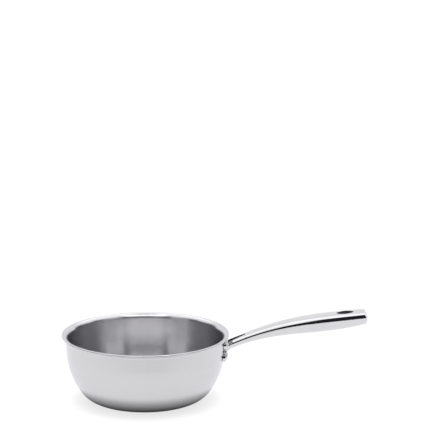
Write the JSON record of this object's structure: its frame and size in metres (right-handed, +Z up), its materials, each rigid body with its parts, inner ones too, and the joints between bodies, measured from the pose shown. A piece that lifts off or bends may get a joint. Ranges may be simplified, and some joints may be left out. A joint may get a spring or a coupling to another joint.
{
  "type": "deep frying pan",
  "caption": "Deep round-sided steel pan with a flared pouring lip and one long hollow handle, riveted on, with a hole to hang it by.",
  "frame": {"origin": "centre of the flat underside of the bowl, on the surface that the pan stands on", "axes": "+Z up along the bowl's axis, +X along the handle, away from the bowl"},
  "size_m": [0.3788, 0.208, 0.111],
  "materials": {
    "outer_steel": "satin brushed round the bowl",
    "core_aluminium": "rolled, bare at the lip's edge",
    "inner_steel": "fine brushed round the bowl",
    "polished_steel": "mirror polished",
    "rivet_steel": "polished dome"
  },
  "bodies": {
    "root": {"induction_skin": "outer_steel", "aluminium_core": "core_aluminium", "cooking_skin": "inner_steel", "handle_foot": "polished_steel", "handle_upper_shell": "polished_steel", "handle_lower_shell": "polished_steel", "hanging_eyelet": "polished_steel", "rivet_left": "rivet_steel", "rivet_right": "rivet_steel"}
  },
  "joints": []
}
